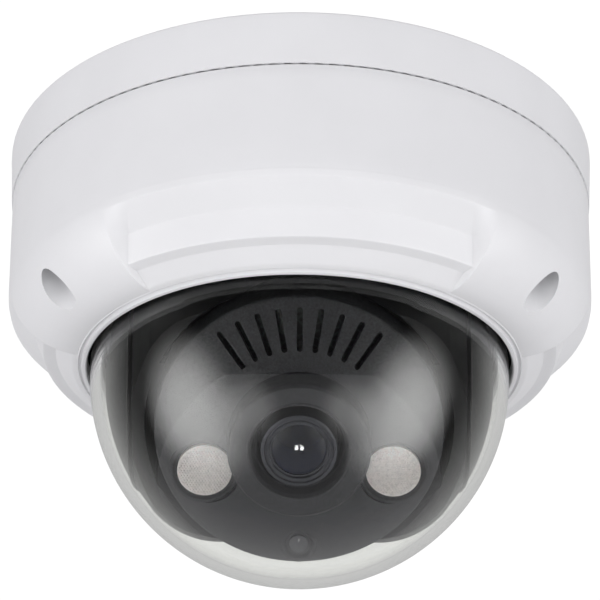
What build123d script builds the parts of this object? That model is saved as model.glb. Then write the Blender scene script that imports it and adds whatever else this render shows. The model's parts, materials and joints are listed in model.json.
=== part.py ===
"""Fixed-lens vandal dome camera, ceiling mounted, built as separate pieces.

Frame: millimetres, +Z up, origin at the centre of the face that meets the ceiling.
The body hangs down to negative Z and the lens looks towards -Y and down.
"""
import math
import os

from build123d import *

# ---------------------------------------------------------------- driving dimensions
TOP_R = 55.7            # base rim against the ceiling
SEAM_R = 55.2           # base at the seam
BASE_H = 10.3           # height of the base housing
SEAM_GAP = 0.35         # open line between base and cover
COVER_R = 55.0          # cover just under the seam
COVER_LOW_R = 54.7      # cover at the start of the shoulder
COVER_WALL = 2.4
SHOULDER_R = 13.9       # radius of the rounded shoulder
SHOULDER_Z = -29.4      # height of the shoulder's centre
LIP_R = 39.5            # opening of the cover
LIP_Z = -43.85          # bottom of the opening's lip
FLOOR_Z = -40.9         # inside floor that carries the dome
POST_RING_R = 49.8      # cover screws, radius from the axis
POST_ANGLES = (60, 180, 300)
PANEL_ANGLES = (0, 120, 240)
PANEL_HALF = 39.5       # half the span of a stepped side panel, degrees
PANEL_PROFILE = (       # ledge, wall, narrow ledge and last slope of a panel
    (58.0, -29.1), (54.34, -32.5), (50.3, -36.3), (47.8, -40.75), (45.4, -41.0), (42.0, -43.3))
PANEL_FOOT = -46.0
PANEL_CORNER_X = 30.0   # inner corner of a panel, either side of its middle
FLANGE_ROOM_TOP = -37.5
HAUNCH_R = 51.4         # inside of the shoulder
HAUNCH_Z = -31.6
COUNTERBORE_R = 3.2
COUNTERBORE_TOP = -22.0
RETAINER_RING_R = 42.0
RETAINER_ANGLES = (30, 90, 150, 210, 270, 330)

DOME_Z = -44.7          # centre of the clear dome
DOME_R = 38.9
DOME_WALL = 1.9
FLANGE_R = 43.7
FLANGE_T = 1.8
GASKET_T = 0.8

BALL_Z = -45.7          # centre of the camera ball: tilt axis and lens axis meet here
BALL_R = 35.9
CHEEK_X = 29.6          # inner face of a cheek
DRUM_X = 29.2           # end face of the tilting drum
DRUM_MID_X = 13.8       # half width of the drum's straight middle
DRUM_CORNER_R = 24.6
DRUM_CORNER_X = 26.0
DRUM_END_R = 20.6
DRUM_WALL = 1.8
DRUM_LAND = 20.0        # flat front of the drum along the lens axis
ARM_SCREW_X = 27.2
DRUM_R = 29.3
LENS_DOWN = 48.0        # lens axis below the horizon at rest, degrees

CAP_R = 79.2            # shallow sphere of the face cover
CAP_CENTRE = -53.1      # its centre along the lens axis
CAP_EDGE_R = 25.4
CAP_WALL = 1.8
CAP_SIDE = 1.6          # wall of the face cover's skirt
CAP_FOOT = 10.3         # foot of the skirt along the lens axis
BEZEL_R = 12.5
BEZEL_FRONT_R = 12.3
BEZEL_FRONT = 30.9      # front of the bezel, from the ball's centre
CARRIER_MID = 8.5       # middle of the carrier ring along the lens axis
LED_X = 16.6
LED_Y = -7.1
LED_WINDOW_R = 4.8
LED_POCKET_R = 6.2
LED_PLANE = 23.2
EYE_Y = -21.3           # ambient light sensor
EYE_PLANE = 23.5
EYE_RING_R = 3.2
SLOT_COUNT = 9
SLOT_STEP = 9.25        # degrees between face slots
SLOT_IN = 16.0
SLOT_OUT = 23.5
SLOT_W = 1.0
SENSOR_BOARD_LOW = 12.3
SENSOR_BOARD_TOP = 13.5
LAMP_BOARD_LOW = 18.2
LAMP_BOARD_TOP = 19.4
PILLAR_R = 14.5
PILLAR_ANGLES = (90, 210, 330)

BOARD_TOP = -5.2
BOARD_T = 1.6
PAN_PLATE_TOP = -9.9
PAN_PLATE_T = 1.2
TABLE_TOP = -11.5
TABLE_T = 3.0
RUN = 0.05              # running clearance on radius
MOUNT_R = 46.0
MOUNT_HOLE_R = 2.3
MOUNT_ANGLES = (0, 120, 240)
BOARD_POST_R = 30.0
BOARD_POST_ANGLES = (0, 120, 240)
PLATE_POST_R = 38.5


# ---------------------------------------------------------------- helpers
def polar(radius, angle, z=0.0):
    """Point at a bearing measured from the front (-Y) towards +X."""
    a = math.radians(angle)
    return (radius * math.sin(a), -radius * math.cos(a), z)


def rod(radius, z_low, z_high, at=(0, 0)):
    """Vertical cylinder between two heights."""
    height = z_high - z_low
    return Pos(at[0], at[1], (z_low + z_high) / 2) * Cylinder(radius, height)


def tube(r_out, r_in, z_low, z_high, at=(0, 0)):
    """Vertical ring between two heights."""
    return rod(r_out, z_low, z_high, at) - rod(r_in, z_low - 1, z_high + 1, at)


def block(x0, x1, y0, y1, z0, z1):
    """Box between two corners."""
    centre = Pos((x0 + x1) / 2, (y0 + y1) / 2, (z0 + z1) / 2)
    return centre * Box(x1 - x0, y1 - y0, z1 - z0)


def lathe(points):
    """Full turn about Z of a closed outline given as (radius, height) points."""
    outline = Polyline([(r, 0, z) for r, z in points], close=True)
    return revolve(make_face(outline), Axis.Z, 360)


def turned(edges):
    """Full turn about Z of a closed outline given as edges in the XZ plane."""
    return revolve(make_face(edges), Axis.Z, 360)


def low_dome(radius, z_edge, rise, z_back):
    """Disc with a flat back and a gently domed front."""
    chord = math.sqrt(radius ** 2 + rise ** 2)
    ball = chord ** 2 / (2 * rise)
    mid_r = radius / 2
    mid_z = z_edge + rise - ball + math.sqrt(ball ** 2 - mid_r ** 2)
    return turned([
        Polyline([(0, 0, z_edge + rise), (0, 0, z_back), (radius, 0, z_back), (radius, 0, z_edge)]),
        ThreePointArc((radius, 0, z_edge), (mid_r, 0, mid_z), (0, 0, z_edge + rise))])


def head(shape):
    """Move a shape from the lens frame (lens along +Z, up along +Y) to its place."""
    return Location((0, 0, BALL_Z), (90 + LENS_DOWN, 0, 0)) * shape


def mirror_side(shape, side):
    """Keep a +X shape, or mirror it to -X."""
    return shape if side > 0 else mirror(shape, Plane.YZ)


def group(pieces):
    """Several separate pieces of one kind kept as one node."""
    return Compound(children=list(pieces))


def save(name, shape):
    """Write one node."""
    export_step(shape, "parts/" + name + ".step")


# ---------------------------------------------------------------- base
def base_housing():
    outer = lathe([(0, 0), (TOP_R, 0), (TOP_R, -1.5), (SEAM_R, -BASE_H), (0, -BASE_H)])
    plate = 2.4
    inner_r = 52.5
    shell = outer - rod(inner_r, -BASE_H - 1, -plate)
    shell -= tube(54.5, 53.3, -BASE_H - 0.1, -BASE_H + 0.8)
    for angle in POST_ANGLES:
        x, y, _ = polar(POST_RING_R, angle)
        shell += rod(4.0, -BASE_H + 0.9, -1, (x, y))
        x, y, _ = polar(PLATE_POST_R, angle)
        shell += rod(3.2, PAN_PLATE_TOP, -1, (x, y))
    for angle in BOARD_POST_ANGLES:
        x, y, _ = polar(BOARD_POST_R, angle)
        shell += rod(3.0, BOARD_TOP, -1, (x, y))
    for angle in MOUNT_ANGLES:
        x, y, _ = polar(MOUNT_R, angle)
        shell += rod(4.6, -4.4, -1, (x, y))
        shell -= rod(MOUNT_HOLE_R, -6, 1, (x, y))
    for angle in POST_ANGLES:
        x, y, _ = polar(POST_RING_R, angle)
        shell -= rod(2.6, -BASE_H - 1, -4.0, (x, y))
        x, y, _ = polar(PLATE_POST_R, angle)
        shell -= rod(1.3, PAN_PLATE_TOP - 1, -5.0, (x, y))
    for angle in BOARD_POST_ANGLES:
        x, y, _ = polar(BOARD_POST_R, angle)
        shell -= rod(1.2, BOARD_TOP - 1, -2.9, (x, y))
    shell -= rod(7.0, -4, 1)
    edge = shell.edges().filter_by(GeomType.CIRCLE).group_by(Axis.Z)[-1]
    rim = [e for e in edge if abs(e.radius - TOP_R) < 0.01]
    return fillet(rim, 0.6)


def cable_grommet():
    outline = [(3.0, 0), (7.0, 0), (7.0, -2.4), (9.0, -2.4), (9.0, -3.7), (5.2, -4.4), (3.0, -4.4)]
    return lathe(outline)


def cover_gasket():
    return tube(54.4, 53.4, -BASE_H - 0.2, -BASE_H + 0.8)


def threaded_inserts():
    """Brass inserts that take the cover screws; the bore runs clear of the thread's crest."""
    pieces = []
    for angle in POST_ANGLES:
        x, y, _ = polar(POST_RING_R, angle)
        pieces.append(tube(2.6, 1.55, -9.4, -4.0, (x, y)))
    return group(pieces)


def main_board():
    low = BOARD_TOP - BOARD_T
    board = tube(41.0, 14.0, low, BOARD_TOP)
    for angle in POST_ANGLES:
        x, y, _ = polar(PLATE_POST_R, angle)
        board -= rod(3.5, low - 1, BOARD_TOP + 1, (x, y))
    for angle in BOARD_POST_ANGLES:
        x, y, _ = polar(BOARD_POST_R, angle)
        board -= rod(1.4, low - 1, BOARD_TOP + 1, (x, y))
    return board


def pan_head_screw(x, y, z_seat, shank_r, shank_len, head_r, head_h):
    """Screw driven upwards; the head hangs under the seat and has a cross recess."""
    screw = rod(head_r, z_seat - head_h, z_seat, (x, y))
    screw += rod(shank_r, z_seat, z_seat + shank_len, (x, y))
    arm = head_r * 0.62
    low = z_seat - head_h
    screw -= block(x - arm, x + arm, y - 0.25, y + 0.25, low - 1, low + head_h * 0.5)
    screw -= block(x - 0.25, x + 0.25, y - arm, y + arm, low - 1, low + head_h * 0.5)
    return screw


def board_screws():
    seat = BOARD_TOP - BOARD_T
    pieces = []
    for angle in BOARD_POST_ANGLES:
        x, y, _ = polar(BOARD_POST_R, angle)
        pieces.append(pan_head_screw(x, y, seat, 1.2, 3.8, 2.3, 1.4))
    return group(pieces)


def processor():
    low = BOARD_TOP - BOARD_T
    return block(-32, -18, -7, 7, low - 1.1, low)


def processor_heatsink():
    """Low finned block bonded under the processor."""
    top = BOARD_TOP - BOARD_T - 1.1
    sink = block(-33, -17, -8, 8, top - 0.6, top)
    for k in range(6):
        y = -8 + 3.04 * k
        sink += block(-33, -17, y, y + 0.8, top - 1.7, top - 0.5)
    return sink


def memory_chips():
    low = BOARD_TOP - BOARD_T
    return group([block(-16, -6, -34, -22, low - 1.0, low), block(-12, -2, 20, 30, low - 1.0, low)])


def network_magnetics():
    return block(-7, 7, 22, 31, BOARD_TOP, BOARD_TOP + 2.4)


def board_sockets():
    """Low plug sockets on the ceiling side of the board, for the inlet leads."""
    sockets = []
    for x, wide in ((-22, 12), (-4, 6), (14, 9)):
        body = block(x, x + wide, -24, -18, BOARD_TOP, BOARD_TOP + 2.5)
        body -= block(x + 0.8, x + wide - 0.8, -25, -19.2, BOARD_TOP + 0.7, BOARD_TOP + 1.9)
        sockets.append(body)
    return group(sockets)


def capacitors():
    pieces = []
    for x, y in ((16, 17), (16, 25), (-18, 27), (12, -32)):
        pieces.append(rod(3.0, BOARD_TOP, BOARD_TOP + 2.5, (x, y)))
    return group(pieces)


def card_socket():
    """Memory-card socket, open towards +X."""
    low = BOARD_TOP - BOARD_T
    body = block(23.5, 38, -10, 4, low - 1.9, low)
    return body - block(24.3, 39, -8.6, 2.6, low - 1.45, low - 0.45)


def memory_card():
    low = BOARD_TOP - BOARD_T
    card = block(24.5, 39.5, -8.5, 2.5, low - 1.3, low - 0.6)
    card -= block(24, 27, -9, -7.2, low - 2, low)
    return card


def reset_switch():
    low = BOARD_TOP - BOARD_T
    body = block(28, 33, 6.5, 11.5, low - 1.6, low)
    return body - rod(1.2, low - 2, low - 0.5, (30.5, 9))


def reset_button():
    low = BOARD_TOP - BOARD_T
    return rod(1.1, low - 2.2, low - 0.9, (30.5, 9))


def pan_plate():
    """Fixed plate that carries the turning table, notched for the card and reset switch."""
    low = PAN_PLATE_TOP - PAN_PLATE_T
    plate = tube(42.0, 9.0, low, PAN_PLATE_TOP)
    plate -= block(23.5, 45, -13, 13, low - 1, PAN_PLATE_TOP + 1)
    for angle in POST_ANGLES:
        x, y, _ = polar(PLATE_POST_R, angle)
        plate -= rod(1.4, low - 1, PAN_PLATE_TOP + 1, (x, y))
    return plate


def pan_plate_screws():
    seat = PAN_PLATE_TOP - PAN_PLATE_T
    pieces = []
    for angle in POST_ANGLES:
        x, y, _ = polar(PLATE_POST_R, angle)
        pieces.append(pan_head_screw(x, y, seat, 1.25, 5.6, 2.6, 1.6))
    return group(pieces)


def friction_washer():
    """Thin washer that holds the pan setting."""
    top = PAN_PLATE_TOP - PAN_PLATE_T
    return tube(22.5, 17.5, top - 0.3, top)


# ---------------------------------------------------------------- cover
def cover_solid():
    """Turned body of the cover: draft wall, big rounded shoulder, lip and hollow inside."""
    top = -BASE_H - SEAM_GAP
    centre_r = COVER_LOW_R - SHOULDER_R
    low_z = SHOULDER_Z - SHOULDER_R
    slant = SHOULDER_R * math.sqrt(0.5)
    flange_room = FLANGE_R + 0.6
    wall_r = COVER_R - COVER_WALL
    lip_out = (LIP_R + 0.7, 0, LIP_Z)
    lip_in = (LIP_R, 0, LIP_Z + 0.6)
    return turned([
        Line((COVER_R, 0, top), (COVER_LOW_R, 0, SHOULDER_Z)),
        ThreePointArc(
            (COVER_LOW_R, 0, SHOULDER_Z), (centre_r + slant, 0, SHOULDER_Z - slant), (centre_r, 0, low_z)),
        Line((centre_r, 0, low_z), lip_out),
        ThreePointArc(lip_out, (LIP_R + 0.2, 0, LIP_Z + 0.18), lip_in),
        Polyline([
            lip_in, (LIP_R, 0, FLOOR_Z), (flange_room, 0, FLOOR_Z), (flange_room, 0, FLANGE_ROOM_TOP),
            (HAUNCH_R, 0, HAUNCH_Z), (wall_r - 0.5, 0, SHOULDER_Z + 0.4), (wall_r, 0, top), (COVER_R, 0, top)])])


def end_facet():
    """Room in front of the slanting facet that closes the +X end of a panel."""
    ledge_r, ledge_z = PANEL_PROFILE[2]
    rim_r, rim_z = PANEL_PROFILE[1]
    foot_r, foot_z = PANEL_PROFILE[3]
    inner = Vector(PANEL_CORNER_X, -math.sqrt(ledge_r ** 2 - PANEL_CORNER_X ** 2), ledge_z)
    outer = Vector(*polar(rim_r, PANEL_HALF, rim_z))
    foot = Vector(*polar(foot_r + 1.0, PANEL_HALF, foot_z))
    facing = (foot - inner).cross(outer - inner)
    size = 200.0
    return Plane(inner, z_dir=facing) * Pos(0, 0, size / 2) * Box(size, size, size)


def stepped_panel():
    """Cutter for one stepped side panel, centred on the front."""
    outline = list(PANEL_PROFILE) + [(PANEL_PROFILE[-1][0], PANEL_FOOT), (PANEL_PROFILE[0][0], PANEL_FOOT)]
    ring = Polyline([(r, 0, z) for r, z in outline], close=True)
    wedge = revolve(make_face(ring), Axis.Z, 2 * PANEL_HALF)
    panel = Rot(0, 0, -90 - PANEL_HALF) * wedge
    room = end_facet()
    return panel & room & mirror(room, Plane.YZ)


def cover_shell():
    top = -BASE_H - SEAM_GAP
    body = cover_solid()
    for angle in PANEL_ANGLES:
        body -= Rot(0, 0, angle) * stepped_panel()
    for angle in POST_ANGLES:
        x, y, _ = polar(POST_RING_R, angle)
        post = rod(5.0, -37, top - 0.1, (x, y)) & lathe(
            [(0, top), (COVER_LOW_R - 1, top), (COVER_LOW_R - 1, -31), (48, -39), (0, -39)])
        body += post
        body -= rod(COUNTERBORE_R, -50, COUNTERBORE_TOP, (x, y))
        body -= rod(1.75, COUNTERBORE_TOP - 1, top + 1, (x, y))
    for angle in RETAINER_ANGLES:
        x, y, _ = polar(RETAINER_RING_R, angle)
        body -= rod(0.9, FLOOR_Z - 1.3, FLOOR_Z + 1, (x, y))
    return body


def cover_screw(angle):
    """Captive screw with a six-lobed socket and a centre pin."""
    x, y, _ = polar(POST_RING_R, angle)
    head_low = COUNTERBORE_TOP - 2.6
    screw = rod(2.9, head_low, COUNTERBORE_TOP, (x, y)) + rod(1.5, COUNTERBORE_TOP, -5.0, (x, y))
    socket = rod(1.15, head_low - 1, head_low + 1.5, (x, y))
    for k in range(6):
        a = math.radians(60 * k)
        lobe = (x + 1.1 * math.cos(a), y + 1.1 * math.sin(a))
        socket += rod(0.42, head_low - 1, head_low + 1.5, lobe)
    screw -= socket - rod(0.45, head_low - 1, head_low + 1.6, (x, y))
    return screw & rod(5, head_low, 0, (x, y))


def screw_clips():
    """Plastic clips that keep the cover screws in the cover when it hangs open."""
    pieces = []
    for angle in POST_ANGLES:
        x, y, _ = polar(POST_RING_R, angle)
        pieces.append(tube(1.75, 1.5 + RUN, -13.2, -11.4, (x, y)))
    return group(pieces)


def dome_gasket():
    ring = tube(FLANGE_R, LIP_R + 0.6, FLOOR_Z, FLOOR_Z + GASKET_T)
    for angle in RETAINER_ANGLES:
        x, y, _ = polar(RETAINER_RING_R, angle)
        ring -= rod(1.1, FLOOR_Z - 1, FLOOR_Z + 2, (x, y))
    return ring


def dome_bubble():
    """Clear dome: half sphere, short neck and the flange that is clamped inside the cover."""
    flange_low = FLOOR_Z + GASKET_T
    flange_top = flange_low + FLANGE_T
    neck = tube(DOME_R, DOME_R - DOME_WALL, DOME_Z, flange_top)
    flange = tube(FLANGE_R, DOME_R - DOME_WALL, flange_low, flange_top)
    ball = Pos(0, 0, DOME_Z) * (Sphere(DOME_R) - Sphere(DOME_R - DOME_WALL))
    bowl = ball & rod(DOME_R + 5, DOME_Z - DOME_R - 5, DOME_Z)
    dome = bowl + neck + flange
    for angle in RETAINER_ANGLES:
        x, y, _ = polar(RETAINER_RING_R, angle)
        dome -= rod(1.1, flange_low - 1, flange_top + 1, (x, y))
    return dome


def dome_retainer():
    low = FLOOR_Z + GASKET_T + FLANGE_T
    ring = tube(44.0, 38.2, low, low + 1.6)
    for angle in RETAINER_ANGLES:
        x, y, _ = polar(RETAINER_RING_R, angle)
        ring -= rod(1.1, low - 1, low + 3, (x, y))
    return ring


def retainer_screws():
    seat = FLOOR_Z + GASKET_T + FLANGE_T + 1.6
    pieces = []
    for angle in RETAINER_ANGLES:
        x, y, _ = polar(RETAINER_RING_R, angle)
        screw = rod(0.9, FLOOR_Z - 1.2, seat, (x, y)) + rod(1.8, seat, seat + 1.1, (x, y))
        screw -= block(x - 1.1, x + 1.1, y - 0.2, y + 0.2, seat + 0.6, seat + 2)
        screw -= block(x - 0.2, x + 0.2, y - 1.1, y + 1.1, seat + 0.6, seat + 2)
        pieces.append(screw)
    return group(pieces)


# ---------------------------------------------------------------- pan table and yoke
def pan_table():
    low = TABLE_TOP - TABLE_T
    table = rod(31.0, low, TABLE_TOP) + block(-31.4, 31.4, -11, 11, low, TABLE_TOP)
    table += rod(9.0 - RUN, TABLE_TOP - 1, -8.9)
    table -= rod(6.5, low - 1, 0)
    for side in (-1, 1):
        table -= rod(1.25, low - 1, TABLE_TOP - 0.6, (side * ARM_SCREW_X, 0))
    return table


def pan_retainer():
    """Ring that keeps the table's hub in the pan plate."""
    return tube(12.0, 9.0 - RUN, PAN_PLATE_TOP + 0.15, -8.9)


def yoke_arm(side):
    """Flat arm from the table down to the tilt pin, with a foot under the table."""
    inner = CHEEK_X
    outer = inner + 1.8
    top = TABLE_TOP - TABLE_T
    arm = block(inner, outer, -11, 11, BALL_Z, top)
    arm += Pos((inner + outer) / 2, 0, BALL_Z) * Rot(0, 90, 0) * Cylinder(11, outer - inner)
    foot = block(24.6, outer, -7, 7, top - 1.6, top)
    foot -= rod(1.3, top - 3, top + 1, (ARM_SCREW_X, 0))
    arm += foot
    arm -= Pos((inner + outer) / 2, 0, BALL_Z) * Rot(0, 90, 0) * Cylinder(4.2, 6)
    return mirror_side(arm, side)


def tilt_bush(side):
    inner = CHEEK_X
    bush = tube(4.2, 3.0 + RUN, inner, inner + 1.8)
    return Pos(0, 0, BALL_Z) * mirror_side(Rot(0, 90, 0) * bush, side)


def arm_screws():
    seat = TABLE_TOP - TABLE_T - 1.6
    return group([pan_head_screw(x, 0, seat, 1.2, 3.6, 2.1, 1.2) for x in (-ARM_SCREW_X, ARM_SCREW_X)])


def cheek(side):
    """Rounded cap over a yoke arm, part of the ball's surface."""
    wall = 1.6
    out_r = math.sqrt(BALL_R ** 2 - CHEEK_X ** 2)
    in_r = math.sqrt((BALL_R - wall) ** 2 - CHEEK_X ** 2)
    out_turn = math.asin(out_r / BALL_R) / 2
    in_turn = math.asin(in_r / (BALL_R - wall)) / 2
    out_mid = (BALL_R * math.sin(out_turn), 0, BALL_R * math.cos(out_turn))
    in_mid = ((BALL_R - wall) * math.sin(in_turn), 0, (BALL_R - wall) * math.cos(in_turn))
    outline = [
        ThreePointArc((0, 0, BALL_R), out_mid, (out_r, 0, CHEEK_X)),
        Line((out_r, 0, CHEEK_X), (in_r, 0, CHEEK_X)),
        ThreePointArc((in_r, 0, CHEEK_X), in_mid, (0, 0, BALL_R - wall)),
        Line((0, 0, BALL_R - wall), (0, 0, BALL_R))]
    shell = revolve(make_face(outline), Axis.Z, 360)
    for y in (-7.0, 7.0):
        shell += rod(2.2, CHEEK_X + 1.8, 34.0, (0, y))
    shell -= block(-BALL_R, 0, -11.1, 11.1, CHEEK_X - 1, CHEEK_X + 1.8)
    return Pos(0, 0, BALL_Z) * mirror_side(Rot(0, 90, 0) * shell, side)


# ---------------------------------------------------------------- tilting drum
def drum_shell():
    """Barrel-shaped shell about the tilt axis, open behind and cut for the round face."""
    def swept(r_mid, r_side, r_end, x_mid, x_side, x_end, r_low):
        line_a = Line((x_mid, r_mid, 0), (-x_mid, r_mid, 0))
        arc_r = ThreePointArc((x_mid, r_mid, 0), (x_mid + 6.6, r_mid - 1.0, 0), (x_side, r_side, 0))
        arc_l = ThreePointArc((-x_mid, r_mid, 0), (-x_mid - 6.6, r_mid - 1.0, 0), (-x_side, r_side, 0))
        end_r = Line((x_side, r_side, 0), (x_end, r_end, 0))
        end_l = Line((-x_side, r_side, 0), (-x_end, r_end, 0))
        low = Polyline([(x_end, r_end, 0), (x_end, r_low, 0), (-x_end, r_low, 0), (-x_end, r_end, 0)])
        face = make_face([line_a, arc_r, arc_l, end_r, end_l, low])
        return revolve(face, Axis.X, 360)

    outer = swept(DRUM_R, DRUM_CORNER_R, DRUM_END_R, DRUM_MID_X, DRUM_CORNER_X, DRUM_X, 0)
    inner = swept(
        DRUM_R - DRUM_WALL, DRUM_CORNER_R - 1.6, DRUM_END_R - 1.4, DRUM_MID_X - 0.4, DRUM_CORNER_X - 1.0,
        DRUM_X - DRUM_WALL, 0)
    shell = outer - inner
    shell -= block(-26.6, 26.6, -40, 40, -40, -9)
    shell -= rod(CAP_EDGE_R + 0.6, 4, 40)
    shell -= block(-40, 40, -40, 40, DRUM_LAND, 40)
    shell -= Rot(0, 90, 0) * Cylinder(3.0, 80)
    shell -= Pos(0, 0, CARRIER_MID) * Rot(0, 90, 0) * Cylinder(1.0, 80)
    for side in (-1, 1):
        shell -= Pos(side * DRUM_X, 0, CARRIER_MID) * Rot(0, 90, 0) * Cylinder(1.9, 1.8)
    return head(shell)


def tilt_pins():
    """Stub pins on the tilt axis, fixed in the drum and turning in the yoke's bushes."""
    pieces = []
    for side in (-1, 1):
        pin = rod(3.0, DRUM_X - 1.8, CHEEK_X + 1.8) + rod(4.6, DRUM_X - 3.0, DRUM_X - 1.8)
        pieces.append(Pos(0, 0, BALL_Z) * Rot(0, 90 * side, 0) * pin)
    return group(pieces)


def head_carrier():
    """Ring inside the drum that the round face turns in."""
    ring = rod(25.2, 7, 10) + block(-27.4, 27.4, -8, 8, 7, 10)
    ring &= rod(27.4, 6, 11)
    ring -= rod(18.0, 6, 11)
    ring -= Pos(0, 0, CARRIER_MID) * Rot(0, 90, 0) * Cylinder(1.0, 80)
    return head(ring)


def carrier_screws():
    """Screws through the drum's end walls into the carrier ring."""
    pieces = []
    for side in (-1, 1):
        screw = rod(1.0, 24.0, DRUM_X - 0.9) + rod(1.9, DRUM_X - 0.9, DRUM_X)
        pieces.append(head(Pos(0, 0, CARRIER_MID) * Rot(0, 90 * side, 0) * screw))
    return group(pieces)


# ---------------------------------------------------------------- turning head
def pillar_spots():
    """Centres of the three pillars in the lens frame."""
    turns = [math.radians(angle) for angle in PILLAR_ANGLES]
    return [(PILLAR_R * math.cos(a), PILLAR_R * math.sin(a)) for a in turns]


def head_frame():
    frame = rod(CAP_EDGE_R - CAP_SIDE, CAP_FOOT, SENSOR_BOARD_LOW) + rod(18.0 - RUN, 5.0, 10.4)
    frame -= rod(16.0, 4, CAP_FOOT)
    for spot in pillar_spots():
        frame -= rod(1.0, 9, 14, spot)
    frame -= rod(4.0, 9, 14, (0, -11))
    return head(frame)


def head_retainer():
    return head(tube(20.6, 18.0 - RUN, 5.0, 6.7))


def sensor_board():
    board = block(-11, 11, -9.5, 11, SENSOR_BOARD_LOW, SENSOR_BOARD_TOP)
    for spot in pillar_spots():
        board -= rod(2.6, 11, 15, spot)
    return head(board)


def image_sensor():
    return head(block(-4.0, 4.0, -3.4, 3.4, SENSOR_BOARD_TOP, 14.8))


def lens_holder():
    """Square foot and threaded neck that hold the lens over the sensor."""
    holder = block(-7.5, 7.5, -7.5, 7.5, SENSOR_BOARD_TOP, 17.0) + rod(7.2, 17.0, 21.6)
    holder -= block(-5.6, 5.6, -5.6, 5.6, 12, 16)
    holder -= rod(6.0, 12, 30)
    return head(holder)


def lens_barrel():
    front = BEZEL_FRONT - 0.3
    outline = [
        (0, 16.6), (5.9, 16.6), (5.9, 21.8), (6.65, 21.8), (6.65, front - 0.25), (6.4, front),
        (5.8, front), (5.65, front - 0.3), (5.3, front - 0.3), (5.15, front - 0.6), (4.75, front - 0.6),
        (4.75, front - 1.9), (3.4, front - 2.4), (0, front - 2.4)]
    return head(lathe(outline))


def lens_glass():
    """Front lens element, gently domed."""
    front = BEZEL_FRONT - 0.3
    return head(low_dome(4.7, front - 0.85, 0.8, front - 1.7))


def lens_bezel():
    """Stepped collar round the lens, standing out of the face cover."""
    f = BEZEL_FRONT
    foot = BEZEL_R - 0.05
    outline = [
        (foot, 21.6), (foot, f - 1.0), (BEZEL_FRONT_R + 0.05, f - 0.45), (BEZEL_FRONT_R - 0.35, f),
        (8.75, f), (8.3, f - 0.45), (7.2, f - 4.2), (7.2, 23.4), (10.8, 23.0), (10.8, 21.6)]
    return head(lathe(outline))


def slot_cutter(angle):
    half = SLOT_W / 2
    slot = block(-half, half, SLOT_IN + half, SLOT_OUT - half, 15, 35)
    slot += rod(half, 15, 35, (0, SLOT_IN + half))
    slot += rod(half, 15, 35, (0, SLOT_OUT - half))
    return Rot(0, 0, angle) * slot


def cap_dome(sphere_r, edge_r):
    """Arc of a sphere on the lens axis from its pole to a radius, as start, middle and end points."""
    points = []
    for r in (0, edge_r / 2, edge_r):
        points.append((r, 0, CAP_CENTRE + math.sqrt(sphere_r ** 2 - r ** 2)))
    return points


def face_cover():
    """Shallow domed round face with slots, two lamp pockets and a light-sensor boss."""
    top, mid, edge = cap_dome(CAP_R, CAP_EDGE_R)
    top_in, mid_in, edge_in = cap_dome(CAP_R - CAP_WALL, CAP_EDGE_R - CAP_SIDE)
    cap = turned([
        ThreePointArc(top, mid, edge),
        Polyline([edge, (CAP_EDGE_R, 0, CAP_FOOT), (CAP_EDGE_R - CAP_SIDE, 0, CAP_FOOT), edge_in]),
        ThreePointArc(edge_in, mid_in, top_in),
        Line(top_in, top)])
    seat = LED_PLANE - 1.6
    for side in (-1, 1):
        at = (side * LED_X, LED_Y)
        cap += rod(LED_POCKET_R, seat - 0.7, LED_PLANE, at) - rod(BEZEL_R, 0, 50)
        cap -= rod(LED_POCKET_R, LED_PLANE, 40, at)
        cap -= rod(LED_WINDOW_R + 0.1, seat, 40, at)
        cap -= rod(LED_WINDOW_R - 0.9, 15, 40, at)
    eye = (0, EYE_Y)
    cap += rod(EYE_RING_R, EYE_PLANE - 3.2, EYE_PLANE, eye)
    cap -= rod(EYE_RING_R, EYE_PLANE, 40, eye)
    cap -= rod(1.75, EYE_PLANE - 1.0, 40, eye)
    cap -= rod(1.2, 15, 40, eye)
    for k in range(SLOT_COUNT):
        cap -= slot_cutter((k - (SLOT_COUNT - 1) / 2) * SLOT_STEP)
    cap -= rod(BEZEL_R, 10, 40)
    return head(cap)


def led_board():
    board = tube(22.4, 10.5, LAMP_BOARD_LOW, LAMP_BOARD_TOP)
    for spot in pillar_spots():
        board -= rod(1.1, LAMP_BOARD_LOW - 1, LAMP_BOARD_TOP + 1, spot)
    return head(board)


def board_pillars():
    return head(group([tube(2.0, 1.0, SENSOR_BOARD_LOW, LAMP_BOARD_LOW, spot) for spot in pillar_spots()]))


def pillar_screws():
    pieces = []
    seat = LAMP_BOARD_TOP
    for x, y in pillar_spots():
        screw = rod(1.0, 14.0, seat, (x, y)) + rod(1.9, seat, seat + 1.2, (x, y))
        screw -= block(x - 1.2, x + 1.2, y - 0.2, y + 0.2, seat + 0.6, seat + 2)
        screw -= block(x - 0.2, x + 0.2, y - 1.2, y + 1.2, seat + 0.6, seat + 2)
        pieces.append(screw)
    return head(group(pieces))


def ir_emitter(side):
    """Square infrared emitter on the lamp board."""
    x = side * LED_X
    base = LAMP_BOARD_TOP
    body = block(x - 1.9, x + 1.9, LED_Y - 1.9, LED_Y + 1.9, base, base + 0.8)
    body += Pos(x, LED_Y, base + 0.6) * Sphere(1.2)
    return head(body & rod(4, base, base + 5, (x, LED_Y)))


def ir_lens(side):
    """Round frosted lens in a lamp pocket, a low dome over a flat back."""
    dome = low_dome(LED_WINDOW_R, LED_PLANE - 0.15, 0.45, LED_PLANE - 1.6)
    return head(Pos(side * LED_X, LED_Y, 0) * dome)


def light_sensor():
    base = LAMP_BOARD_TOP
    chip = block(-1.0, 1.0, EYE_Y - 1.0, EYE_Y + 1.0, base, base + 0.7)
    return head(chip + rod(0.7, base + 0.6, base + 1.4, (0, EYE_Y)))


def light_window():
    return head(rod(1.7, EYE_PLANE - 1.0, EYE_PLANE - 0.1, (0, EYE_Y)))


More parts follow.
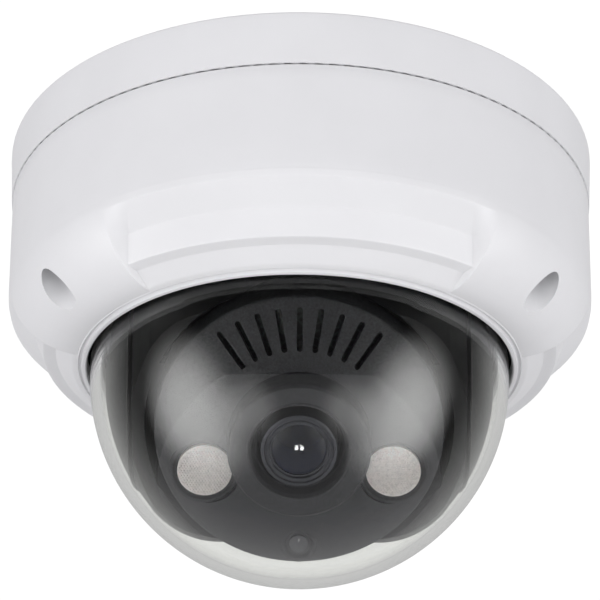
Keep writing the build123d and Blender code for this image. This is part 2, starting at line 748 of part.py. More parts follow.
def main():
    """Build every piece and write it out."""
    os.makedirs("parts", exist_ok=True)
    save("base_housing", base_housing())
    save("cable_grommet", cable_grommet())
    save("cover_gasket", cover_gasket())
    save("threaded_inserts", threaded_inserts())
    save("main_board", main_board())
    save("board_screws", board_screws())
    save("processor", processor())
    save("processor_heatsink", processor_heatsink())
    save("memory_chips", memory_chips())
    save("network_magnetics", network_magnetics())
    save("board_sockets", board_sockets())
    save("capacitors", capacitors())
    save("card_socket", card_socket())
    save("memory_card", memory_card())
    save("reset_switch", reset_switch())
    save("reset_button", reset_button())
    save("pan_plate", pan_plate())
    save("pan_plate_screws", pan_plate_screws())
    save("friction_washer", friction_washer())
    save("cover_shell", cover_shell())
    save("cover_screw_right", cover_screw(POST_ANGLES[0]))
    save("cover_screw_rear", cover_screw(POST_ANGLES[1]))
    save("cover_screw_left", cover_screw(POST_ANGLES[2]))
    save("screw_clips", screw_clips())
    save("dome_gasket", dome_gasket())
    save("dome_bubble", dome_bubble())
    save("dome_retainer", dome_retainer())
    save("retainer_screws", retainer_screws())
    save("pan_table", pan_table())
    save("pan_retainer", pan_retainer())
    save("yoke_arm_left", yoke_arm(-1))
    save("yoke_arm_right", yoke_arm(1))
    save("tilt_bush_left", tilt_bush(-1))
    save("tilt_bush_right", tilt_bush(1))
    save("arm_screws", arm_screws())
    save("cheek_left", cheek(-1))
    save("cheek_right", cheek(1))
    save("drum_shell", drum_shell())
    save("tilt_pins", tilt_pins())
    save("head_carrier", head_carrier())
    save("carrier_screws", carrier_screws())
    save("head_frame", head_frame())
    save("head_retainer", head_retainer())
    save("sensor_board", sensor_board())
    save("image_sensor", image_sensor())
    save("lens_holder", lens_holder())
    save("lens_barrel", lens_barrel())
    save("lens_glass", lens_glass())
    save("lens_bezel", lens_bezel())
    save("face_cover", face_cover())
    save("led_board", led_board())
    save("board_pillars", board_pillars())
    save("pillar_screws", pillar_screws())
    save("ir_emitter_left", ir_emitter(-1))
    save("ir_emitter_right", ir_emitter(1))
    save("ir_lens_left", ir_lens(-1))
    save("ir_lens_right", ir_lens(1))
    save("light_sensor", light_sensor())
    save("light_window", light_window())


main()
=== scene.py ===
"""Finished surfaces, materials and studio for the ceiling dome camera.

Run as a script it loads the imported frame, builds every visible piece round it and sets the stage.
Outlines are in millimetres in the piece's own axis system and are placed in metres in the row frame.
"""
import json
import math

import bmesh
import bpy
import numpy as np
from bpy.props import FloatProperty, FloatVectorProperty, IntProperty, PointerProperty
from mathutils import Matrix, Vector


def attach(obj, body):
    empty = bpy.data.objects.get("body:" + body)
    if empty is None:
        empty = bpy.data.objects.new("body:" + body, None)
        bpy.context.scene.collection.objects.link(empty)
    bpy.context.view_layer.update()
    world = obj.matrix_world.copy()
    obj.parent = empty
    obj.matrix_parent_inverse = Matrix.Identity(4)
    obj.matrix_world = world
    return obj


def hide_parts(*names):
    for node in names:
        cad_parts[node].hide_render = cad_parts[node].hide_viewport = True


bl_info = {
    "name": "Dome camera finish",
    "version": (1, 0, 0),
    "blender": (4, 5, 0),
    "location": "View3D > Sidebar > Dome camera",
    "description": "Builds the finished surfaces of a ceiling dome camera round its packed frame",
    "category": "Object",
}

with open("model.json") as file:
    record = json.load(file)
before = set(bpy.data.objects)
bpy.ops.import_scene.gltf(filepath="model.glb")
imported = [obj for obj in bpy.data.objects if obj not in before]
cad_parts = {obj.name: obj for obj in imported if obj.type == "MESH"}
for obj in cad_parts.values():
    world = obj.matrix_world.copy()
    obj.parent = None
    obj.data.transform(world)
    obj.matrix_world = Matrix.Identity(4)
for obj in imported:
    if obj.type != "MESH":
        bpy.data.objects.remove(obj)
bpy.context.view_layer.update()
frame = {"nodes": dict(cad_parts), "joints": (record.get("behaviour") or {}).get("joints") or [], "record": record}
NODES = frame["nodes"]
JOINTS = {joint["name"]: joint for joint in frame["joints"]}
MM = 0.001
TAU = 2 * math.pi

# ------------------------------------------------------------------ places read from the frame
BALL = Vector(JOINTS["tilt"]["pos_m"])
LENS_AXIS = Vector(JOINTS["rotate"]["axis"]).normalized()
HEAD_UP = LENS_AXIS.cross(Vector((1, 0, 0)))
SCREW_PLACES = {side: Vector(JOINTS[f"screw_{side}_turn"]["pos_m"]) for side in ("right", "rear", "left")}


def axes_matrix(across, up, out, origin):
    """Placement matrix from three unit axes and an origin."""
    turn = Matrix((across, up, out)).transposed().to_4x4()
    return Matrix.Translation(origin) @ turn


HEAD = axes_matrix(Vector((1, 0, 0)), HEAD_UP, LENS_AXIS, BALL)
TILT_RIGHT = axes_matrix(Vector((0, 0, -1)), Vector((0, 1, 0)), Vector((1, 0, 0)), BALL)
TILT_LEFT = axes_matrix(Vector((0, 0, 1)), Vector((0, 1, 0)), Vector((-1, 0, 0)), BALL)
UPRIGHT = Matrix.Identity(4)


# ------------------------------------------------------------------ what a user would change
class CoverSizes(bpy.types.PropertyGroup):
    """Sizes of the cover, in millimetres."""
    wall_radius: FloatProperty(name="Wall radius", description="Cover wall at the seam", default=55.0)
    low_radius: FloatProperty(
        name="Shoulder radius", description="Cover wall above the shoulder", default=54.7)
    seam_height: FloatProperty(name="Seam height", description="Top of the cover wall", default=-10.5)
    shoulder_height: FloatProperty(
        name="Shoulder height", description="Where the rounding starts", default=-29.4)
    shoulder_round: FloatProperty(
        name="Shoulder rounding", description="Radius of the rounding", default=13.9)
    lip_radius: FloatProperty(name="Opening radius", description="Edge round the clear dome", default=39.5)
    lip_height: FloatProperty(name="Lip height", description="Lowest edge of the cover", default=-43.9)
    panel_half: FloatProperty(
        name="Panel half span", description="Half angle of a stepped panel", default=39.5)
    panel_corner: FloatProperty(
        name="Panel corner", description="Inner corner from a panel's middle", default=30.0)
    driver_way: FloatProperty(name="Driver way radius", description="Round hole to each screw", default=3.2)


class DomeSizes(bpy.types.PropertyGroup):
    """Sizes of the clear dome, in millimetres."""
    radius: FloatProperty(name="Radius", description="Outside of the clear dome", default=38.9)
    wall: FloatProperty(name="Wall", description="Thickness of the clear dome", default=1.9)
    centre_height: FloatProperty(
        name="Centre height", description="Centre of the half sphere", default=-44.7)


class HeadSizes(bpy.types.PropertyGroup):
    """Sizes of the lens head, in millimetres from the ball's centre along the lens axis."""
    cap_round: FloatProperty(
        name="Face sphere", description="Shallow sphere of the face cover", default=79.2)
    cap_centre: FloatProperty(name="Face sphere centre", description="Along the lens axis", default=-53.1)
    cap_edge: FloatProperty(name="Face radius", description="Edge of the round face", default=25.4)
    bezel_radius: FloatProperty(name="Collar radius", description="Foot of the lens collar", default=12.45)
    bezel_front: FloatProperty(name="Collar front", description="Front of the lens collar", default=30.9)
    slot_count: IntProperty(name="Slots", description="Vent slots over the lens", default=9, min=1)
    slot_step: FloatProperty(name="Slot step", description="Degrees between vent slots", default=9.25)
    slot_width: FloatProperty(name="Slot width", description="Width of a vent slot", default=1.0)
    lamp_across: FloatProperty(name="Lamp offset", description="Lamp from the lens, sideways", default=16.6)
    lamp_up: FloatProperty(name="Lamp height", description="Lamp from the lens, upwards", default=-7.1)
    lamp_plane: FloatProperty(
        name="Lamp plane", description="Ring round a lamp, along the axis", default=23.2)
    eye_up: FloatProperty(name="Light sensor height", description="Sensor from the lens", default=-21.3)
    eye_plane: FloatProperty(
        name="Light sensor plane", description="Ring of the sensor, along the axis", default=23.5)
    facet: FloatProperty(name="Lamp facet", description="Width of one hexagonal facet", default=0.52)


class FinishColours(bpy.types.PropertyGroup):
    """Colours of the main finishes."""
    paint: FloatVectorProperty(
        name="Paint", description="Cover and base", subtype="COLOR", size=3, default=(0.80, 0.80, 0.81))
    face: FloatVectorProperty(
        name="Face", description="Face cover and collar",
        subtype="COLOR", size=3, default=(0.034, 0.034, 0.040))
    cheek: FloatVectorProperty(
        name="Cheeks", description="Caps beside the drum",
        subtype="COLOR", size=3, default=(0.020, 0.020, 0.022))
    drum: FloatVectorProperty(
        name="Drum", description="Drum and yoke", subtype="COLOR", size=3, default=(0.006, 0.006, 0.007))
    lamp: FloatVectorProperty(
        name="Lamp lens", description="Frosted lamp lenses",
        subtype="COLOR", size=3, default=(0.93, 0.86, 0.845))


class StudioSettings(bpy.types.PropertyGroup):
    """Camera and light of the stage."""
    rise: FloatProperty(name="Rise", description="Degrees the camera looks up", default=26.83)
    distance: FloatProperty(name="Distance", description="Camera to aim point, mm", default=500.0)
    aim_height: FloatProperty(name="Aim height", description="Height of the aim point, mm", default=-35.0)
    tip: FloatProperty(name="Tip", description="Extra upward turn, degrees", default=0.70)
    roll: FloatProperty(name="Roll", description="Roll of the camera, degrees", default=-0.35)
    lens: FloatProperty(name="Focal length", description="On a 36 mm sensor", default=159.8)
    fill: FloatProperty(name="Fill", description="Soft light from all round", default=0.56)
    sheen: FloatProperty(name="Dark surround", description="What polished surfaces mirror", default=0.03)
    front: FloatProperty(name="Front light", description="Power of the front box, W", default=3.0)
    side: FloatProperty(name="Side glow", description="Brightness of the side panels", default=3.8)


# ------------------------------------------------------------------ mesh helpers
def eased(points, segments=4):
    """Outline with rounded corners from (radius, height, rounding) points."""
    out = []
    count = len(points)
    for i, (r, h, ease) in enumerate(points):
        corner = Vector((r, h))
        if ease <= 0:
            out.append((r, h))
            continue
        back = Vector(points[i - 1][:2]) - corner
        ahead = Vector(points[(i + 1) % count][:2]) - corner
        half = max(back.angle(ahead) / 2, 0.05)
        cut = min(ease / math.tan(half), 0.48 * back.length, 0.48 * ahead.length)
        start = corner + back.normalized() * cut
        end = corner + ahead.normalized() * cut
        for k in range(segments + 1):
            t = k / segments
            spot = start * (1 - t) ** 2 + corner * 2 * t * (1 - t) + end * t * t
            out.append((spot.x, spot.y))
    return out


def arc(centre, radius, start, end, steps):
    """Points of an arc about (radius, height), angles in degrees, 0 pointing outwards."""
    spots = []
    for k in range(steps + 1):
        a = math.radians(start + (end - start) * k / steps)
        spots.append((centre[0] + radius * math.cos(a), centre[1] + radius * math.sin(a)))
    return spots


def through(start, middle, end, steps):
    """Arc through three points, from start to end."""
    a, b, c = (Vector((*spot, 0)) for spot in (start, middle, end))
    ab, ac = b - a, c - a
    normal = ab.cross(ac)
    centre = a + (ac.length_squared * normal.cross(ab) - ab.length_squared * normal.cross(ac)) / (
        2 * normal.length_squared)
    first, last = a - centre, c - centre
    turn = first.angle(last)
    axis = first.cross(last).normalized()
    spots = []
    for k in range(steps + 1):
        spot = centre + Matrix.Rotation(turn * k / steps, 3, axis) @ first
        spots.append((spot.x, spot.y))
    return spots


def mesh_object(name, verts, faces, place=UPRIGHT):
    """Object at the origin whose mesh is placed in metres, with faces outwards."""
    mesh = bpy.data.meshes.new(name)
    mesh.from_pydata([Vector(v) * MM for v in verts], [], faces)
    mesh.transform(place)
    piece = bpy.data.objects.new(name, mesh)
    bpy.context.scene.collection.objects.link(piece)
    tidy_mesh(piece)
    return piece


def tidy_mesh(piece, merge=1e-7):
    """Merges doubles, turns faces outwards and shades by angle."""
    mesh = piece.data
    work = bmesh.new()
    work.from_mesh(mesh)
    bmesh.ops.remove_doubles(work, verts=work.verts, dist=merge)
    bmesh.ops.recalc_face_normals(work, faces=work.faces)
    work.to_mesh(mesh)
    work.free()
    shade(piece)


def shade(piece, angle=32.0):
    """Smooth shading with sharp edges kept."""
    mesh = piece.data
    mesh.polygons.foreach_set("use_smooth", [True] * len(mesh.polygons))
    mesh.set_sharp_from_angle(angle=math.radians(angle))
    mesh.update()


def turned(name, outline, steps=192, place=UPRIGHT):
    """Closed outline of (radius, height) turned once about the local axis."""
    verts = []
    rows = []
    for r, h in outline:
        first = len(verts)
        if r < 1e-6:
            rows.append([first])
            verts.append((0, 0, h))
            continue
        rows.append(list(range(first, first + steps)))
        for k in range(steps):
            a = TAU * k / steps
            verts.append((r * math.cos(a), r * math.sin(a), h))
    faces = []
    for low, high in zip(rows, rows[1:] + rows[:1]):
        for k in range(steps):
            n = (k + 1) % steps
            if len(low) == 1 and len(high) == 1:
                break
            if len(low) == 1:
                faces.append((low[0], high[n], high[k]))
            elif len(high) == 1:
                faces.append((low[k], low[n], high[0]))
            else:
                faces.append((low[k], low[n], high[n], high[k]))
    return mesh_object(name, verts, faces, place)


def rod(name, radius, start, end, steps, place=UPRIGHT):
    """Plain round rod between two heights."""
    return turned(name, [(0, start), (radius, start), (radius, end), (0, end)], steps, place)


def block(name, low, high, place):
    """Plain box between two corners."""
    verts = [(x, y, z) for x in (low[0], high[0]) for y in (low[1], high[1]) for z in (low[2], high[2])]
    faces = [(0, 1, 3, 2), (4, 6, 7, 5), (0, 4, 5, 1), (2, 3, 7, 6), (0, 2, 6, 4), (1, 5, 7, 3)]
    return mesh_object(name, verts, faces, place)


def cap_radius(wide, rise):
    """Radius of the sphere through a disc's edge and its raised middle."""
    return (wide ** 2 + rise ** 2) / (2 * rise)


def domed_disc(name, wide, low, rise, foot, rings, steps, place):
    """Thick disc with a spherical front."""
    ball = cap_radius(wide, rise)
    half = math.degrees(math.asin(wide / ball))
    front = arc((0, low + rise - ball), ball, 90 - half, 90, rings)
    front[-1] = (0, low + rise)
    return turned(name, [(0, foot), (wide, foot)] + front, steps, place)


def apply_modifiers(piece):
    """Turns the evaluated object into its plain mesh."""
    graph = bpy.context.evaluated_depsgraph_get()
    mesh = bpy.data.meshes.new_from_object(piece.evaluated_get(graph))
    piece.modifiers.clear()
    piece.data = mesh
    return piece


def cut_with(piece, cutters, operation="DIFFERENCE"):
    """Exact boolean with each cutter in turn; the cutters are removed."""
    for cutter in cutters:
        step = piece.modifiers.new("Cut", "BOOLEAN")
        step.operation = operation
        step.solver = "EXACT"
        step.object = cutter
    apply_modifiers(piece)
    for cutter in cutters:
        bpy.data.objects.remove(cutter)
    tidy_mesh(piece, 2e-6)
    return piece


def fit(piece, body, slot, node):
    """Gives a finished piece its material and its body, and hides the frame node that it stands for."""
    piece.data.materials.clear()
    piece.data.materials.append(finish(slot))
    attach(piece, body)
    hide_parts(node)


# ------------------------------------------------------------------ node helpers
def joined(tree, kind, **sources):
    """New node with its inputs linked by name."""
    node = tree.nodes.new(kind)
    for key, output in sources.items():
        tree.links.new(output, node.inputs[key])
    return node


def maths(tree, operation, *values):
    """One maths step; each value is a number or another node's output."""
    step = tree.nodes.new("ShaderNodeMath")
    step.operation = operation
    for socket, value in zip(step.inputs, values):
        if isinstance(value, float):
            socket.default_value = value
        else:
            tree.links.new(value, socket)
    return step.outputs[0]


def map_range(tree, value, source, target, curve="LINEAR"):
    """Maps an output from one range to another."""
    node = joined(tree, "ShaderNodeMapRange", Value=value)
    node.interpolation_type = curve
    for key, bound in zip(("From Min", "From Max", "To Min", "To Max"), (*source, *target)):
        node.inputs[key].default_value = bound
    return node.outputs["Result"]


def open_group(name, inputs):
    """New geometry node group with the named inputs; returns it with its input node's outputs."""
    tree = bpy.data.node_groups.new(name, "GeometryNodeTree")
    tree.interface.new_socket("Geometry", in_out="OUTPUT", socket_type="NodeSocketGeometry")
    for label, kind in inputs:
        tree.interface.new_socket(label, in_out="INPUT", socket_type="NodeSocket" + kind)
    return tree, tree.nodes.new("NodeGroupInput").outputs


def close_group(tree, feed, instances):
    """Ends a group with real geometry that carries the given material."""
    solid = joined(tree, "GeometryNodeRealizeInstances", Geometry=instances)
    paint = joined(tree, "GeometryNodeSetMaterial", Geometry=solid.outputs[0], Material=feed["Finish"])
    joined(tree, "NodeGroupOutput", Geometry=paint.outputs[0])
    return tree


def run_group(piece, tree, values):
    """Runs a geometry node group on a piece with its named inputs and keeps the plain mesh."""
    step = piece.modifiers.new(tree.name, "NODES")
    step.node_group = tree
    keys = {item.name: item.identifier for item in tree.interface.items_tree if item.in_out == "INPUT"}
    for name, value in values.items():
        step[keys[name]] = value
    return apply_modifiers(piece)


# ------------------------------------------------------------------ copies round an axis
def copies_tree():
    """Geometry Nodes: one object repeated about Z, with its own start and step angle."""
    name = "Copies round an axis"
    if name in bpy.data.node_groups:
        return bpy.data.node_groups[name]
    tree, feed = open_group(name, (
        ("Pattern", "Object"), ("Count", "Int"), ("Start", "Float"), ("Step", "Float"),
        ("Finish", "Material")))
    points = joined(tree, "GeometryNodePoints", Count=feed["Count"])
    shape = joined(tree, "GeometryNodeObjectInfo", Object=feed["Pattern"])
    shape.transform_space = "ORIGINAL"
    index = tree.nodes.new("GeometryNodeInputIndex").outputs[0]
    along = maths(tree, "MULTIPLY_ADD", index, feed["Step"], feed["Start"])
    turn = joined(tree, "ShaderNodeCombineXYZ", Z=along)
    place = joined(tree, "GeometryNodeInstanceOnPoints", Points=points.outputs[0],
                   Instance=shape.outputs["Geometry"], Rotation=turn.outputs[0])
    return close_group(tree, feed, place.outputs[0])


def copies(name, pattern, count, start, step, material=None, place=UPRIGHT):
    """Plain mesh of a pattern object repeated about Z; angles in degrees, pattern removed."""
    holder = bpy.data.objects.new(name, bpy.data.meshes.new(name))
    bpy.context.scene.collection.objects.link(holder)
    run_group(holder, copies_tree(), {
        "Pattern": pattern, "Count": count, "Start": math.radians(start), "Step": math.radians(step),
        "Finish": material})
    bpy.data.objects.remove(pattern)
    holder.data.transform(place)
    tidy_mesh(holder)
    return holder


# ------------------------------------------------------------------ materials
class Finish:
    """Small builder for one procedural material."""

    def __init__(self, name):
        self.material = bpy.data.materials.new(name)
        self.material.use_nodes = True
        self.nodes = self.material.node_tree.nodes
        self.links = self.material.node_tree.links
        self.shader = self.nodes["Principled BSDF"]
        self.coords = self.nodes.new("ShaderNodeTexCoord")
        self.bumps = []

    def set(self, **values):
        """Uniform values straight on the shader's sockets."""
        for key, value in values.items():
            socket = self.shader.inputs[key.replace("_", " ")]
            socket.default_value = (*value, 1.0) if socket.type == "RGBA" else value
        return self

    def noise(self, scale, detail=3.0, rough=0.5, stretch=None):
        """Fractal noise in object metres."""
        node = self.nodes.new("ShaderNodeTexNoise")
        node.inputs["Scale"].default_value = scale
        node.inputs["Detail"].default_value = detail
        node.inputs["Roughness"].default_value = rough
        source = self.coords.outputs["Object"]
        if stretch:
            mapping = self.nodes.new("ShaderNodeMapping")
            mapping.inputs["Scale"].default_value = stretch
            self.links.new(source, mapping.inputs["Vector"])
            source = mapping.outputs[0]
        self.links.new(source, node.inputs["Vector"])
        return node.outputs["Fac"]

    def cells(self, scale, feature="F1"):
        """Cell pattern in object metres."""
        node = self.nodes.new("ShaderNodeTexVoronoi")
        node.feature = feature
        node.inputs["Scale"].default_value = scale
        self.links.new(self.coords.outputs["Object"], node.inputs["Vector"])
        return node.outputs["Distance"]

    def ramp(self, source, stops):
        """Colour ramp from (position, colour) stops."""
        node = self.nodes.new("ShaderNodeValToRGB")
        elements = node.color_ramp.elements
        while len(elements) < len(stops):
            elements.new(0.5)
        for element, (position, colour) in zip(elements, stops):
            element.position = position
            element.color = (*colour, 1.0)
        self.links.new(source, node.inputs["Fac"])
        return node.outputs["Color"]

    def span(self, source, low, high, source_low=0.3, source_high=0.7):
        """Maps a pattern to a range of numbers."""
        return map_range(self.material.node_tree, source, (source_low, source_high), (low, high))

    def drive(self, socket, output):
        """Connects a pattern to a shader socket."""
        self.links.new(output, self.shader.inputs[socket])
        return self

    def bump(self, height, strength, distance):
        """Adds a bump layer; distance in metres."""
        node = self.nodes.new("ShaderNodeBump")
        node.inputs["Strength"].default_value = strength
        node.inputs["Distance"].default_value = distance
        self.links.new(height, node.inputs["Height"])
        if self.bumps:
            self.links.new(self.bumps[-1].outputs[0], node.inputs["Normal"])
        self.bumps.append(node)
        self.links.new(node.outputs[0], self.shader.inputs["Normal"])
        return self


def tinted(colour, factor):
    """Colour made lighter or darker."""
    return tuple(min(1.0, channel * factor) for channel in colour)


def painted(colour):
    """Satin powder paint with a fine orange-peel skin."""
    f = Finish("Satin white paint")
    f.drive("Base Color", f.ramp(f.noise(60, 4), [
        (0.35, tinted(colour, 0.985)), (0.65, tinted(colour, 1.01))]))
    f.drive("Roughness", f.span(f.noise(220, 3), 0.36, 0.46))
    f.bump(f.noise(2400, 2), 0.10, 0.00004)
    f.bump(f.noise(700, 2), 0.10, 0.00006)
    f.set(Specular_IOR_Level=0.45)
    return f.material


def clear_plastic():
    """Polished clear polycarbonate with the faintest haze."""
    f = Finish("Clear polycarbonate")
    f.set(Transmission_Weight=1.0, IOR=1.52)
    f.drive("Base Color", f.ramp(f.noise(25, 2), [
        (0.3, (0.950, 0.957, 0.935)), (0.7, (0.960, 0.966, 0.945))]))
    f.drive("Roughness", f.span(f.noise(90, 3), 0.0, 0.012))
    f.bump(f.noise(16, 1), 0.02, 0.0001)
    return f.material


def spark_texture(name, colour, speck, rough_low, rough_high):
    """Moulded plastic with a spark-eroded grain of light and dark specks."""
    f = Finish(name)
    grain = f.noise(2600, 4, 0.65)
    f.drive("Base Color", f.ramp(grain, [
        (0.34, tinted(colour, 1 - speck)), (0.52, colour), (0.7, tinted(colour, 1 + speck))]))
    f.drive("Roughness", f.span(f.noise(1500, 3), rough_low, rough_high))
    f.bump(grain, 0.35, 0.00008)
    f.bump(f.noise(900, 2), 0.12, 0.00008)
    f.set(Specular_IOR_Level=0.5)
    return f.material


def moulded(name, colour, rough, grain_scale=1800.0, strength=0.15):
    """Plain moulded plastic with a light grain."""
    f = Finish(name)
    f.drive("Base Color", f.ramp(f.noise(300, 3), [(0.3, tinted(colour, 0.88)), (0.7, tinted(colour, 1.12))]))
    f.drive("Roughness", f.span(f.noise(600, 3), rough - 0.05, rough + 0.06))
    f.bump(f.noise(grain_scale, 3), strength, 0.00005)
    return f.material


def metal(name, colour, rough, stretch=(1.0, 1.0, 14.0), strength=0.08):
    """Metal with a directional brushed or turned grain."""
    f = Finish(name)
    f.set(Metallic=1.0)
    grain = f.noise(900, 4, 0.6, stretch)
    f.drive("Base Color", f.ramp(grain, [(0.3, tinted(colour, 0.86)), (0.7, tinted(colour, 1.05))]))
    f.drive("Roughness", f.span(grain, rough - 0.07, rough + 0.1))
    f.bump(grain, strength, 0.00003)
    return f.material


def circuit(name, colour, copper):
    """Solder mask over faint tracks."""
    f = Finish(name)
    tracks = f.cells(520, "DISTANCE_TO_EDGE")
    f.drive("Base Color", f.ramp(tracks, [(0.05, copper), (0.09, colour)]))
    f.drive("Roughness", f.span(f.noise(500, 3), 0.28, 0.4))
    f.bump(tracks, 0.2, 0.00003)
    return f.material


def glass_with_painted_coating_reflection():
    """Dark lens glass with a blue and violet coating; its tint at grazing angles is a painted reflection in the
    base colour.
    """
    f = Finish("Coated lens glass")
    # Painted reflection: the base colour turns lighter blue, violet and teal towards grazing angles, standing in
    # for the coating's reflection.
    painted_reflection_slant = f.nodes.new("ShaderNodeLayerWeight")
    painted_reflection_slant.inputs["Blend"].default_value = 0.35
    stops = [(0.0, (0.004, 0.005, 0.012)), (0.25, (0.010, 0.014, 0.040)), (0.6, (0.030, 0.028, 0.075)),
             (1.0, (0.020, 0.050, 0.050))]
    f.drive("Base Color", f.ramp(painted_reflection_slant.outputs["Facing"], stops))
    f.drive("Roughness", f.span(f.noise(160, 2), 0.015, 0.03))
    f.bump(f.noise(30, 1), 0.01, 0.0001)
    f.set(Specular_IOR_Level=0.3, Coat_Weight=0.12, Coat_Roughness=0.02)
    return f.material


def frosted_lens(colour):
    """Milky lamp lens with pink shadows between its facets."""
    f = Finish("Frosted lamp lens")
    f.drive("Base Color", f.ramp(f.noise(1700, 4, 0.7), [
        (0.32, tinted(colour, 0.82)), (0.5, colour), (0.68, tinted(colour, 1.06))]))
    f.drive("Roughness", f.span(f.noise(900, 3), 0.22, 0.42))
    f.bump(f.noise(2600, 3), 0.18, 0.00005)
    f.set(Subsurface_Weight=0.25, Subsurface_Radius=(0.0012, 0.0008, 0.0007), Coat_Weight=0.3)
    return f.material


def rubber():
    """Matte black rubber."""
    return moulded("Black rubber", (0.018, 0.018, 0.018), 0.75, 900.0, 0.3)


FINISHES = {}


def finish(slot):
    """Material of a record slot, made once."""
    colours = bpy.context.scene.camera_colours
    makers = {
        "white_paint": lambda: painted(tuple(colours.paint)),
        "clear_dome": clear_plastic,
        "face_grey": lambda: spark_texture("Face plastic", tuple(colours.face), 0.45, 0.42, 0.6),
        "grey_plastic": lambda: spark_texture("Cheek plastic", tuple(colours.cheek), 0.12, 0.36, 0.46),
        "black_plastic": lambda: moulded("Black moulding", tuple(colours.drum), 0.42),
        "barrel_black": lambda: metal("Black anodised", (0.085, 0.087, 0.100), 0.46),
        "lens_glass": glass_with_painted_coating_reflection,
        "lamp_lens": lambda: frosted_lens(tuple(colours.lamp)),
        "smoke_window": lambda: moulded("Smoked window", (0.09, 0.09, 0.10), 0.12, 400.0, 0.05),
        "emitter": lambda: moulded("Clear resin", (0.70, 0.66, 0.45), 0.2),
        "sensor_glass": lambda: moulded("Sensor cover glass", (0.08, 0.09, 0.13), 0.1, 300.0, 0.04),
        "black_rubber": rubber,
        "brass": lambda: metal("Brass", (0.76, 0.56, 0.24), 0.3),
        "steel": lambda: metal("Zinc-plated steel", (0.60, 0.60, 0.62), 0.3),
        "plated_steel": lambda: metal("Pressed plate", (0.66, 0.66, 0.67), 0.36, (1, 9, 1)),
        "aluminium": lambda: metal("Aluminium", (0.74, 0.75, 0.77), 0.38),
        "board_green": lambda: circuit("Green circuit board", (0.012, 0.10, 0.045), (0.05, 0.22, 0.10)),
        "board_dark": lambda: circuit("Dark circuit board", (0.010, 0.014, 0.012), (0.03, 0.05, 0.04)),
        "chip_black": lambda: moulded("Chip resin", (0.02, 0.02, 0.022), 0.55),
        "socket_white": lambda: moulded("Natural nylon", (0.72, 0.70, 0.64), 0.45),
        "card_black": lambda: moulded("Card plastic", (0.02, 0.02, 0.022), 0.4),
    }
    if slot not in FINISHES:
        FINISHES[slot] = makers[slot]()
    return FINISHES[slot]


# ------------------------------------------------------------------ cover and base
PANEL_STEPS = (
    (54.34, -32.5, 0.3), (49.7, -36.0, 0.4), (47.8, -40.75, 0.3), (45.4, -41.0, 0.35), (42.0, -43.3, 0.0))
FACET_STEPS = (
    (-0.04, 0.0), (0.03, 0.005), (0.10, 0.06), (0.25, 0.22), (0.40, 0.385), (0.55, 0.55), (0.70, 0.70),
    (0.85, 0.86), (0.94, 0.955), (1.0, 0.99), (1.05, 1.0))


def panel_outline():
    """Stepped panel: ledge, wall, narrow ledge and last slope down to the lip."""
    first = (54.9, -30.0, 0)
    last = (40.8, -43.35, 0)
    corners = eased([first, *PANEL_STEPS, last], 3)
    spots = []
    for (r0, h0), (r1, h1) in zip(corners, corners[1:]):
        steps = max(1, round(math.hypot(r1 - r0, h1 - h0) / 0.7))
        spots += [(r0 + (r1 - r0) * k / steps, h0 + (h1 - h0) * k / steps) for k in range(1, steps + 1)]
    return spots[1:-1]


def cover_columns(half, corners):
    """Mesh columns as (bearings of every row, depth in a panel); corners are the rows' inner corners."""
    corners = np.array(corners)
    columns = []
    middle_steps = 44
    plain_steps = 26
    for middle in (0.0, 120.0, 240.0):
        for share, depth in FACET_STEPS:
            columns.append((middle - half + (half - corners) * share, depth))
        reach = half - (half - corners) * FACET_STEPS[-1][0]
        for k in range(1, middle_steps):
            columns.append((middle - reach + 2 * reach * k / middle_steps, 1.0))
        for share, depth in reversed(FACET_STEPS):
            columns.append((middle + half - (half - corners) * share, depth))
        start = half - (half - corners) * FACET_STEPS[0][0]
        gap = 120.0 - 2 * start
        for k in range(1, plain_steps):
            columns.append((middle + start + gap * k / plain_steps, 0.0))
    return columns


